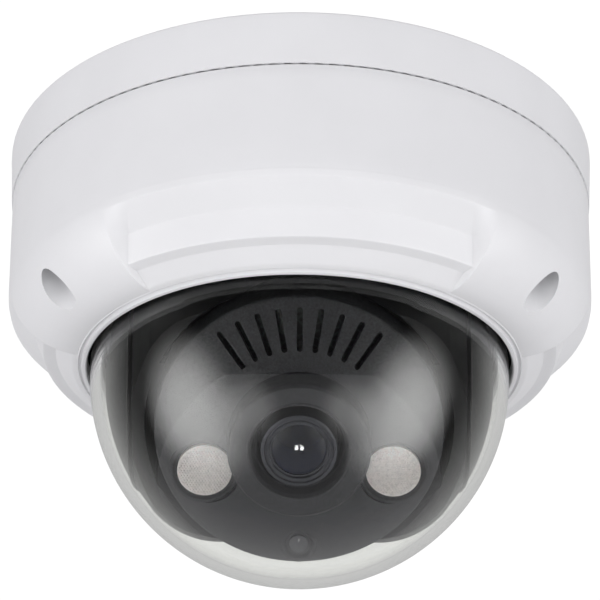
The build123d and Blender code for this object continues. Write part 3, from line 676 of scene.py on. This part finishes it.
class CAMERA_OT_cover(bpy.types.Operator):
    """Cover casting with its rounded shoulder, stepped panels, screw posts and driver ways"""
    bl_idname = "dome_camera.cover"
    bl_label = "Cover casting"

    def execute(self, context):
        s = context.scene.camera_cover
        centre = (s.low_radius - s.shoulder_round, s.shoulder_height)
        top = s.seam_height
        floor = -40.9
        room = 44.3
        plain = [(s.wall_radius - 0.2, top), (s.wall_radius - 0.06, top - 0.06), (s.wall_radius, top - 0.2)]
        for k in range(1, 7):
            t = k / 7
            plain.append((s.wall_radius + (s.low_radius - s.wall_radius) * t,
                          top + (s.shoulder_height - top) * t))
        plain += arc(centre, s.shoulder_round, 0, -10.0, 4)
        panel = list(plain)
        for r, h in panel_outline():
            slope = math.atan2(h - centre[1], r - centre[0])
            plain.append((centre[0] + s.shoulder_round * math.cos(slope),
                          centre[1] + s.shoulder_round * math.sin(slope)))
            panel.append((r, h))
        low = s.lip_height
        rest = eased([
            (42.0, -43.3, 0), (41.15, -43.42, 0.1), (41.0, -43.0, 0.1), (40.6, -43.0, 0.1),
            (40.45, low + 0.1, 0.12), (39.75, low, 0.2), (s.lip_radius, low + 0.35, 0.2),
            (s.lip_radius, floor, 0.1), (room, floor, 0.2), (room, -37.5, 0.3), (51.4, -31.6, 0.8),
            (52.1, -29.0, 0.8), (52.6, top, 0.2), (s.wall_radius - 0.3, top, 0)], 3)[1:-1]
        corners = [math.degrees(math.asin(min(0.95, s.panel_corner / r))) for r, _ in panel]
        corners += [s.panel_half] * len(rest)
        corners = [min(corner, s.panel_half - 0.5) for corner in corners]
        plain += rest
        panel += rest
        verts = []
        columns = cover_columns(s.panel_half, corners)
        for bearings, depth in columns:
            for bearing, (r0, h0), (r1, h1) in zip(np.radians(bearings), plain, panel):
                r = r0 + (r1 - r0) * depth
                verts.append((r * math.sin(bearing), -r * math.cos(bearing), h0 + (h1 - h0) * depth))
        rows = len(plain)
        faces = []
        for c in range(len(columns)):
            n = (c + 1) % len(columns)
            for k in range(rows):
                m = (k + 1) % rows
                faces.append((c * rows + k, n * rows + k, n * rows + m, c * rows + m))
        shell = mesh_object("cover_casting", verts, faces)
        core = arc(centre, s.shoulder_round - 3.2, 0, -80, 14)
        core = [(0, top - 0.02), (52.9, top - 0.02)] + core + [(44.6, floor + 0.6), (0, floor + 0.6)]
        posts = []
        ways = []
        for place in SCREW_PLACES.values():
            at = Matrix.Translation((place.x, place.y, 0))
            post = rod("post", 4.9, top, -42, 64, at)
            posts.append(cut_with(post, [turned("core", core, 96)], "INTERSECT"))
            ways.append(rod("way", s.driver_way, -22.0, -60, 64, at))
            ways.append(rod("thread way", 1.75, 0, -30, 32, at))
        cut_with(shell, posts, "UNION")
        cut_with(shell, ways)
        fit(shell, "cover", "white_paint", "cover_shell")
        return {"FINISHED"}


class CAMERA_OT_base(bpy.types.Operator):
    """Base housing against the ceiling, a merged copy of the frame's own mesh"""
    bl_idname = "dome_camera.base"
    bl_label = "Base housing"

    def execute(self, context):
        piece = bpy.data.objects.new("base_casting", NODES["base_housing"].data.copy())
        context.scene.collection.objects.link(piece)
        tidy_mesh(piece, 1e-6)
        fit(piece, "base", "white_paint", "base_housing")
        return {"FINISHED"}


def screw_mesh(name, at):
    """Security screw: domed rim and threaded shank."""
    low = -24.6
    outline = eased([
        (0, low + 1.4, 0), (1.5, low + 1.4, 0), (1.62, low, 0.05), (2.55, low, 0.1), (2.9, low + 0.4, 0.2),
        (2.9, -22.0, 0.1), (1.5, -22.0, 0)], 3)
    thread = []
    for k in range(22):
        h = -14.2 + k * 0.42
        thread += [(1.28, h), (1.5, h + 0.21)]
    outline += [(1.5, -14.6)] + thread + [(1.1, -5.0), (0, -5.0)]
    return turned(name, outline, 48, at)


class CAMERA_OT_screws(bpy.types.Operator):
    """Three captive cover screws with six-lobed sockets and centre pins, each on its own body"""
    bl_idname = "dome_camera.screws"
    bl_label = "Cover screws"

    def execute(self, context):
        for side, place in SCREW_PLACES.items():
            node = "cover_screw_" + side
            at = Matrix.Translation((place.x, place.y, 0))
            piece = screw_mesh("security_screw_" + side, at)
            lobe = rod("lobe", 0.36, -25.2, -23.1, 16, Matrix.Translation((1.42 * MM, 0, 0)))
            cut_with(piece, [copies("lobes", lobe, 6, 0, 60, None, at)])
            cut_with(piece, [rod("pin", 0.42, -24.7, -23.0, 24, at)], "UNION")
            fit(piece, node, "steel", node)
        return {"FINISHED"}


# ------------------------------------------------------------------ clear dome
class CAMERA_OT_dome(bpy.types.Operator):
    """Clear dome of true wall thickness with its clamped flange"""
    bl_idname = "dome_camera.dome"
    bl_label = "Clear dome"

    def execute(self, context):
        s = context.scene.camera_dome
        inner = s.radius - s.wall
        flange_low, flange_top, flange = -40.1, -38.3, 43.7
        outside = arc((0, s.centre_height), s.radius, -90, 0, 64)
        inside = arc((0, s.centre_height), inner, 0, -90, 64)
        outside[0] = (0, s.centre_height - s.radius)
        inside[-1] = (0, s.centre_height - inner)
        collar = eased([
            (s.radius, s.centre_height, 0), (s.radius, flange_low, 0.3), (flange, flange_low, 0.2),
            (flange, flange_top, 0.2), (inner, flange_top, 0.2), (inner, s.centre_height, 0)], 3)
        dome = turned("dome_clear", outside + collar[1:-1] + inside, 256)
        fit(dome, "cover", "clear_dome", "dome_bubble")
        return {"FINISHED"}


# ------------------------------------------------------------------ ball: drum and cheeks
class CAMERA_OT_drum(bpy.types.Operator):
    """Tilting drum, a barrel about the tilt axis with a flared opening for the face"""
    bl_idname = "dome_camera.drum"
    bl_label = "Tilting drum"

    def execute(self, context):
        end, mid = 29.2, 13.8
        crown = through((24.6, 26.0), (28.3, 20.4), (29.3, mid), 16)
        corner = eased([(3.0, end, 0), (20.6, end, 0.6), (*crown[0], 0.7), (*crown[2], 0)], 4)[1:-1]
        outer = [(3.0, end)] + corner + crown[2:]
        outer += [(r, -h) for r, h in reversed(outer)]
        inner = [(3.0, 27.4), (19.2, 27.4), (23.0, 25.0), (26.2, 19.0), (27.5, 13.4)]
        inner += [(r, -h) for r, h in reversed(inner)]
        drum = turned("drum_barrel", outer + list(reversed(inner)), 200, TILT_RIGHT)
        mouth = eased([
            (0, 4, 0), (26.0, 4, 0), (26.0, 17.6, 0.4), (27.2, 20.1, 0.1), (27.3, 45, 0), (0, 45, 0)], 3)
        land = [(0, 20.0), (60, 20.0), (60, 50), (0, 50)]
        behind = block("behind", (-26.6, -45, -45), (26.6, 45, -9), HEAD)
        cut_with(drum, [turned("mouth", mouth, 160, HEAD), turned("land", land, 64, HEAD), behind])
        fit(drum, "drum", "black_plastic", "drum_shell")
        return {"FINISHED"}


class CAMERA_OT_cheeks(bpy.types.Operator):
    """Left and right rounded caps over the yoke's arms"""
    bl_idname = "dome_camera.cheeks"
    bl_label = "Cheeks"

    def execute(self, context):
        ball, wall, face = 35.9, 1.6, 29.6
        for side, place in (("left", TILT_LEFT), ("right", TILT_RIGHT)):
            out_edge = math.degrees(math.asin(face / ball))
            in_edge = math.degrees(math.asin(face / (ball - wall)))
            rim = math.sqrt(ball ** 2 - face ** 2)
            outline = arc((0, 0), ball, 90, out_edge + 1.0, 40) + [
                (rim - 0.06, face + 0.26), (rim - 0.2, face + 0.07), (rim - 0.45, face)]
            outline += arc((0, 0), ball - wall, in_edge, 90, 24)
            outline[0] = (0, ball)
            outline[-1] = (0, ball - wall)
            cheek = turned("cheek_cap_" + side, outline, 160, place)
            mirror = Matrix.Scale(-1, 4, (1, 0, 0)) if side == "left" else UPRIGHT
            notch = block("notch", (28.0, -11.1, 0), (31.4, 11.1, 40), Matrix.Translation(BALL) @ mirror)
            cut_with(cheek, [notch])
            fit(cheek, "yoke", "grey_plastic", "cheek_" + side)
        return {"FINISHED"}


# ------------------------------------------------------------------ turning head
def slot_cutter(s):
    """One vent slot as a stadium-shaped prism in the lens frame."""
    half = s.slot_width / 2
    low, high = 16.0 + half, 23.5 - half
    rim = []
    for k in range(13):
        a = math.pi * k / 12
        rim.append((half * math.cos(a), high + half * math.sin(a)))
    for k in range(13):
        a = math.pi + math.pi * k / 12
        rim.append((half * math.cos(a), low + half * math.sin(a)))
    count = len(rim)
    verts = [(x, y, 16.0) for x, y in rim] + [(x, y, 36.0) for x, y in rim]
    faces = [tuple(range(count)), tuple(reversed(range(count, 2 * count)))]
    for k in range(count):
        n = (k + 1) % count
        faces.append((k, n, count + n, count + k))
    return mesh_object("slot", verts, faces)


class CAMERA_OT_face(bpy.types.Operator):
    """Round face cover with vent slots, lamp pockets and the light-sensor ring"""
    bl_idname = "dome_camera.face"
    bl_label = "Face cover"

    def execute(self, context):
        s = context.scene.camera_head
        edge, side_wall, foot = s.cap_edge, 1.6, 10.3
        hole = s.bezel_radius + 0.05

        def height_at(r, drop=0.0):
            """Height of the shallow sphere at a radius."""
            return s.cap_centre + math.sqrt((s.cap_round - drop) ** 2 - r ** 2)

        steps = 28
        spread = [hole + (edge - 0.9 - hole) * k / steps for k in range(steps + 1)]
        outline = [(r, height_at(r)) for r in spread]
        outline += eased([(*outline[-1], 0), (edge, height_at(edge), 0.55), (edge, foot, 0)], 5)[1:]
        spread = [hole + (edge - side_wall - hole) * k / 12 for k in range(13)]
        outline += [(edge - side_wall, foot)] + [(r, height_at(r, 1.8)) for r in reversed(spread)]
        cap = turned("face_domed", outline, 224, HEAD)
        lamps = [(side * s.lamp_across, s.lamp_up) for side in (-1, 1)]
        cuts, collars = [], []
        p = s.lamp_plane
        for x, y in lamps:
            at = HEAD @ Matrix.Translation((x * MM, y * MM, 0))
            cuts.append(rod("pocket", 6.1, 15.0, 40, 96, at))
            ring = eased([
                (3.9, p - 2.3, 0), (6.25, p - 2.5, 0), (6.25, p, 0.3), (5.6, p, 0.2), (5.2, p - 0.6, 0.15),
                (4.95, p - 0.6, 0.05), (4.95, p - 1.6, 0), (3.9, p - 1.6, 0)], 3)
            collars.append(turned("collar", ring, 96, at))
        at = HEAD @ Matrix.Translation((0, s.eye_up * MM, 0))
        q = s.eye_plane
        cuts.append(rod("eye pocket", 3.1, 15.0, 40, 64, at))
        ring = eased([
            (1.2, q - 3.2, 0), (3.25, q - 3.4, 0), (3.25, q, 0.3), (2.6, q, 0.25), (2.2, q - 0.6, 0.1),
            (1.75, q - 0.6, 0.05), (1.75, q - 1.0, 0), (1.2, q - 1.0, 0)], 3)
        collars.append(turned("eye ring", ring, 64, at))
        start = -s.slot_step * (s.slot_count - 1) / 2
        fan = copies("slots", slot_cutter(s), s.slot_count, start, s.slot_step, None, HEAD)
        cut_with(cap, cuts + [fan])
        cut_with(cap, collars, "UNION")
        cut_with(cap, [rod("collar room", hole, 5, 40, 160, HEAD)])
        fit(cap, "head", "face_grey", "face_cover")
        return {"FINISHED"}


class CAMERA_OT_lens(bpy.types.Operator):
    """Lens collar, barrel with turned rings and coated front glass"""
    bl_idname = "dome_camera.lens"
    bl_label = "Lens"

    def execute(self, context):
        s = context.scene.camera_head
        f = s.bezel_front
        foot = s.bezel_radius
        collar = eased([
            (foot, 21.6, 0), (foot, f - 1.0, 0.25), (12.35, f - 0.5, 0.12), (11.95, f, 0.2),
            (9.2, f, 0.15), (8.95, f + 0.14, 0.1), (8.7, f + 0.1, 0.1), (8.3, f - 0.7, 0.1),
            (7.9, f - 2.6, 0.1), (7.65, f - 2.8, 0.05), (7.2, f - 4.2, 0.1), (7.2, 23.4, 0),
            (10.8, 23.0, 0), (10.8, 21.6, 0)], 3)
        bezel = turned("lens_collar", collar, 224, HEAD)
        fit(bezel, "head", "face_grey", "lens_bezel")
        front = f - 0.3
        rings = eased([
            (0, 16.6, 0), (5.9, 16.6, 0.1), (5.9, 21.8, 0), (6.65, 21.8, 0.1), (6.65, front - 0.1, 0.22),
            (6.05, front, 0.1), (5.9, front - 0.35, 0.06), (5.6, front - 0.35, 0.06),
            (5.5, front - 0.12, 0.06), (5.2, front - 0.12, 0.08), (5.05, front - 0.6, 0.06),
            (4.75, front - 0.6, 0), (4.75, front - 1.9, 0),
            (3.4, front - 2.4, 0), (0, front - 2.4, 0)], 3)
        barrel = turned("lens_barrel_turned", rings, 160, HEAD)
        fit(barrel, "head", "barrel_black", "lens_barrel")
        low = front - 0.85
        glass = domed_disc("lens_front_element", 4.7, low, 0.8, low - 0.85, 20, 128, HEAD)
        fit(glass, "head", "lens_glass", "lens_glass")
        return {"FINISHED"}


def facet_tree():
    """Geometry Nodes: one hexagonal facet set on every point of a field of points."""
    name = "Facets on points"
    if name in bpy.data.node_groups:
        return bpy.data.node_groups[name]
    tree, feed = open_group(name, (
        ("Geometry", "Geometry"), ("Facet width", "Float"), ("Facet height", "Float"),
        ("Finish", "Material")))
    flat_top = 0.22
    cone = joined(tree, "GeometryNodeMeshCone", Depth=feed["Facet height"])
    cone.fill_type = "TRIANGLE_FAN"
    cone.inputs["Vertices"].default_value = 6
    for socket, share in (("Radius Bottom", 1 / math.sqrt(3)), ("Radius Top", flat_top)):
        tree.links.new(maths(tree, "MULTIPLY", feed["Facet width"], share), cone.inputs[socket])
    place = joined(tree, "GeometryNodeInstanceOnPoints", Points=feed["Geometry"],
                   Instance=cone.outputs["Mesh"])
    return close_group(tree, feed, place.outputs[0])


def facets(name, width, radius, height_at, material):
    """Plain mesh of hexagonal facets over a round lens, in millimetres about its own axis."""
    points = []
    row_step = width * math.sqrt(3) / 2
    rows = int(radius / row_step) + 1
    for j in range(-rows, rows + 1):
        shift = 0.5 * width if j % 2 else 0.0
        for i in range(-rows - 2, rows + 3):
            x, y = i * width + shift, j * row_step
            r = math.hypot(x, y)
            if r < radius - width * 0.55:
                points.append((x * MM, y * MM, height_at(r) * MM))
    mesh = bpy.data.meshes.new(name)
    mesh.from_pydata(points, [], [])
    piece = bpy.data.objects.new(name, mesh)
    bpy.context.scene.collection.objects.link(piece)
    return run_group(piece, facet_tree(), {
        "Facet width": width * MM * 0.94, "Facet height": 0.10 * MM, "Finish": material})


class CAMERA_OT_lamps(bpy.types.Operator):
    """Two frosted infrared lamp lenses with hexagonal facets"""
    bl_idname = "dome_camera.lamps"
    bl_label = "Lamp lenses"

    def execute(self, context):
        s = context.scene.camera_head
        wide, plane, rise = 4.8, s.lamp_plane - 0.15, 0.45
        ball = cap_radius(wide, rise)

        def height_at(r):
            """Height at which a facet is placed, a hair above the lens front."""
            return plane + rise - ball + math.sqrt(ball ** 2 - r ** 2) + 0.03

        for side, name in ((-1, "left"), (1, "right")):
            at = HEAD @ Matrix.Translation((side * s.lamp_across * MM, s.lamp_up * MM, 0))
            lens = domed_disc("lamp_lens_" + name, wide, plane, rise, plane - 1.4, 16, 96, at)
            field = facets("field", s.facet, wide, height_at, finish("lamp_lens"))
            field.data.transform(at)
            work = bmesh.new()
            work.from_mesh(lens.data)
            work.from_mesh(field.data)
            work.to_mesh(lens.data)
            work.free()
            bpy.data.objects.remove(field)
            shade(lens, 25)
            fit(lens, "head", "lamp_lens", "ir_lens_" + name)
        return {"FINISHED"}


class CAMERA_OT_eye(bpy.types.Operator):
    """Small smoked window over the light sensor"""
    bl_idname = "dome_camera.eye"
    bl_label = "Light-sensor window"

    def execute(self, context):
        s = context.scene.camera_head
        at = HEAD @ Matrix.Translation((0, s.eye_up * MM, 0))
        q = s.eye_plane
        outline = eased([(0, q - 0.98, 0), (1.7, q - 0.98, 0), (1.7, q - 0.35, 0.15), (0, q - 0.1, 0)], 3)
        window = turned("eye_window", outline, 64, at)
        fit(window, "head", "smoke_window", "light_window")
        return {"FINISHED"}


# ------------------------------------------------------------------ inner pieces
class CAMERA_OT_inner(bpy.types.Operator):
    """Materials of every frame piece that keeps its own mesh"""
    bl_idname = "dome_camera.inner"
    bl_label = "Inner pieces"

    def execute(self, context):
        slots = {entry["node"]: entry["material_slot"] for entry in frame["record"]["subparts"]}
        for node, piece in NODES.items():
            piece.data.materials.clear()
            piece.data.materials.append(finish(slots[node]))
        return {"FINISHED"}


# ------------------------------------------------------------------ stage
def softbox(name, place, aim, size, power, glossy):
    """Square area light aimed at a point."""
    light = bpy.data.lights.new(name, "AREA")
    light.shape = "RECTANGLE"
    light.size, light.size_y = size
    light.energy = power
    lamp = bpy.data.objects.new(name, light)
    lamp.location = place
    lamp.rotation_euler = (Vector(aim) - Vector(place)).to_track_quat("-Z", "Y").to_euler()
    lamp.visible_glossy = glossy
    lamp.visible_transmission = glossy
    bpy.context.scene.collection.objects.link(lamp)
    return lamp


def glow_panel(name, bearing, distance, size, strength):
    """Large soft panel that fades out towards its rim; size is its width and height in metres."""
    material = bpy.data.materials.new(name)
    material.use_nodes = True
    tree = material.node_tree
    tree.nodes.remove(tree.nodes["Principled BSDF"])
    coords = tree.nodes.new("ShaderNodeTexCoord")
    squeeze = joined(tree, "ShaderNodeMapping", Vector=coords.outputs["Object"])
    squeeze.inputs["Scale"].default_value = (2 / size[0], 2 / size[1], 0)
    length = joined(tree, "ShaderNodeVectorMath", Vector=squeeze.outputs[0])
    length.operation = "LENGTH"
    fade = map_range(tree, length.outputs["Value"], (0.0, 1.0), (strength, 0.0), "SMOOTHERSTEP")
    path = tree.nodes.new("ShaderNodeLightPath")
    soften = maths(tree, "MULTIPLY_ADD", path.outputs["Is Diffuse Ray"], -0.5, 1.0)
    glow = joined(tree, "ShaderNodeEmission", Strength=maths(tree, "MULTIPLY", fade, soften))
    clear = tree.nodes.new("ShaderNodeBsdfTransparent")
    both = tree.nodes.new("ShaderNodeAddShader")
    tree.links.new(glow.outputs[0], both.inputs[0])
    tree.links.new(clear.outputs[0], both.inputs[1])
    tree.links.new(both.outputs[0], tree.nodes["Material Output"].inputs["Surface"])
    mesh = bpy.data.meshes.new(name)
    w, h = size[0] / 2, size[1] / 2
    mesh.from_pydata([(-w, -h, 0), (w, -h, 0), (w, h, 0), (-w, h, 0)], [], [(0, 1, 2, 3)])
    mesh.materials.append(material)
    panel = bpy.data.objects.new(name, mesh)
    away = Vector(bearing).normalized()
    centre = Vector((0, 0, -0.045))
    panel.location = centre + away * distance
    panel.rotation_euler = away.to_track_quat("-Z", "Y").to_euler()
    bpy.context.scene.collection.objects.link(panel)
    panel.visible_camera = False
    return panel


def mixed(tree, share, first, second):
    """Mix of two shader outputs by a share."""
    node = tree.nodes.new("ShaderNodeMixShader")
    for socket, output in zip(node.inputs, (share, first, second)):
        tree.links.new(output, socket)
    return node.outputs[0]


def background(node, colour, strength):
    """Gives a background node its colour and strength."""
    node.inputs["Color"].default_value = (*colour, 1)
    node.inputs["Strength"].default_value = strength
    return node


def surroundings(s):
    """World: white when seen, soft fill on matt surfaces, dark in front of polished ones."""
    world = bpy.data.worlds.new("Studio")
    world.use_nodes = True
    tree = world.node_tree
    seen = background(tree.nodes.new("ShaderNodeBackground"), (1, 1, 1), 1.05)
    fill = background(tree.nodes["Background"], (0.968, 0.960, 1.0), s.fill)
    sheen = background(tree.nodes.new("ShaderNodeBackground"), (1, 1, 1), 1.0)
    path = tree.nodes.new("ShaderNodeLightPath").outputs
    bounced = maths(tree, "GREATER_THAN", path["Diffuse Depth"], 0.5)
    mirrored = maths(tree, "GREATER_THAN", path["Glossy Depth"], 0.5)
    straight = maths(tree, "SUBTRACT", 1.0, maths(tree, "MAXIMUM", bounced, mirrored))
    clear = maths(tree, "MULTIPLY", path["Is Transmission Ray"], straight)
    through_glass = maths(tree, "MAXIMUM", path["Is Camera Ray"], clear)
    shine = maths(tree, "MULTIPLY", path["Is Transmission Ray"], mirrored)
    shine = maths(tree, "MAXIMUM", path["Is Glossy Ray"], shine)
    direction = tree.nodes.new("ShaderNodeTexCoord")
    behind = joined(tree, "ShaderNodeSeparateXYZ", Vector=direction.outputs["Generated"])
    pale = map_range(tree, behind.outputs["Y"], (0.12, 0.8), (s.sheen, 0.58), "SMOOTHSTEP")
    tree.links.new(pale, sheen.inputs["Strength"])
    unseen = mixed(tree, shine, fill.outputs[0], sheen.outputs[0])
    whole = mixed(tree, through_glass, unseen, seen.outputs[0])
    tree.links.new(whole, tree.nodes["World Output"].inputs["Surface"])
    return world


class CAMERA_OT_stage(bpy.types.Operator):
    """Pale floor, plain studio light and the camera below the object, looking up"""
    bl_idname = "dome_camera.stage"
    bl_label = "Stage"

    def execute(self, context):
        s = context.scene.camera_studio
        scene = context.scene
        reach, low = 6000, -2600
        corners = [(-reach, -reach, low), (reach, -reach, low), (reach, reach, low), (-reach, reach, low)]
        floor = mesh_object("floor", corners, [(0, 1, 2, 3)])
        ground = Finish("Pale floor")
        ground.drive("Base Color", ground.ramp(ground.noise(2, 3), [
            (0.3, (0.86, 0.86, 0.86)), (0.7, (0.90, 0.90, 0.90))]))
        ground.drive("Roughness", ground.span(ground.noise(5, 2), 0.7, 0.85))
        floor.data.materials.append(ground.material)
        floor.visible_glossy = False
        scene.world = surroundings(s)
        aim = (0, 0, s.aim_height * MM)
        softbox("front box", (0.0, -0.97, -0.2), aim, (0.9, 0.9), s.front, False)
        for name, side in (("left glow", -1), ("right glow", 1)):
            glow_panel(name, (side * 0.84, -0.31, -0.44), 0.7, (0.95, 1.3), s.side)
        for side in (-1, 1):
            upper = glow_panel("upper glow", (side * 0.45, -0.66, -0.60), 0.7, (0.55, 0.55), 0.32 * s.side)
            upper.visible_diffuse = False
            place = (side * 0.016, -0.33, -0.67)
            glint = softbox("glint", place, (0, -0.02, -0.065), (0.02, 0.02), 0.035, True)
            glint.visible_diffuse = False
        rise = math.radians(s.rise)
        ahead = Vector((0, math.cos(rise), math.sin(rise)))
        up = Vector((0, -math.sin(rise), math.cos(rise)))
        tip = math.radians(s.tip)
        look = ahead * math.cos(tip) + up * math.sin(tip)
        top = up * math.cos(tip) - ahead * math.sin(tip)
        roll = math.radians(s.roll)
        across = Vector((1, 0, 0))
        side = across * math.cos(roll) - top * math.sin(roll)
        top = top * math.cos(roll) + across * math.sin(roll)
        camera = bpy.data.cameras.new("camera")
        camera.lens = s.lens
        camera.sensor_width = 36.0
        camera.clip_start = 0.01
        holder = bpy.data.objects.new("camera", camera)
        holder.matrix_world = axes_matrix(side, top, -look, (Vector(aim) - ahead * s.distance * MM))
        scene.collection.objects.link(holder)
        scene.camera = holder
        scene.view_settings.view_transform = "Standard"
        scene.view_settings.look = "None"
        return {"FINISHED"}


# ------------------------------------------------------------------ panel and registration
OPERATORS = (
    CAMERA_OT_inner, CAMERA_OT_cover, CAMERA_OT_base, CAMERA_OT_screws, CAMERA_OT_dome, CAMERA_OT_drum,
    CAMERA_OT_cheeks, CAMERA_OT_face, CAMERA_OT_lens, CAMERA_OT_lamps, CAMERA_OT_eye, CAMERA_OT_stage)
GROUPS = {
    "camera_cover": CoverSizes, "camera_dome": DomeSizes, "camera_head": HeadSizes,
    "camera_colours": FinishColours, "camera_studio": StudioSettings}


class CAMERA_PT_panel(bpy.types.Panel):
    """Lists the pieces of the dome camera"""
    bl_label = "Dome camera"
    bl_idname = "CAMERA_PT_panel"
    bl_space_type = "VIEW_3D"
    bl_region_type = "UI"
    bl_category = "Dome camera"

    def draw(self, context):
        for operator in OPERATORS:
            self.layout.operator(operator.bl_idname)
        for name, group in GROUPS.items():
            box = self.layout.box()
            box.label(text=group.__name__)
            for key in group.__annotations__:
                box.prop(getattr(context.scene, name), key)


def register():
    """Registers the settings, the operators and the panel."""
    for group in GROUPS.values():
        bpy.utils.register_class(group)
    for operator in OPERATORS:
        bpy.utils.register_class(operator)
    bpy.utils.register_class(CAMERA_PT_panel)
    for name, group in GROUPS.items():
        setattr(bpy.types.Scene, name, PointerProperty(type=group))


def unregister():
    """Removes what register added."""
    for name in GROUPS:
        delattr(bpy.types.Scene, name)
    bpy.utils.unregister_class(CAMERA_PT_panel)
    for operator in reversed(OPERATORS):
        bpy.utils.unregister_class(operator)
    for group in reversed(list(GROUPS.values())):
        bpy.utils.unregister_class(group)


def main():
    """Builds every piece in order."""
    register()
    for operator in OPERATORS:
        group, name = operator.bl_idname.split(".")
        getattr(getattr(bpy.ops, group), name)()


if __name__ == "__main__":
    main()
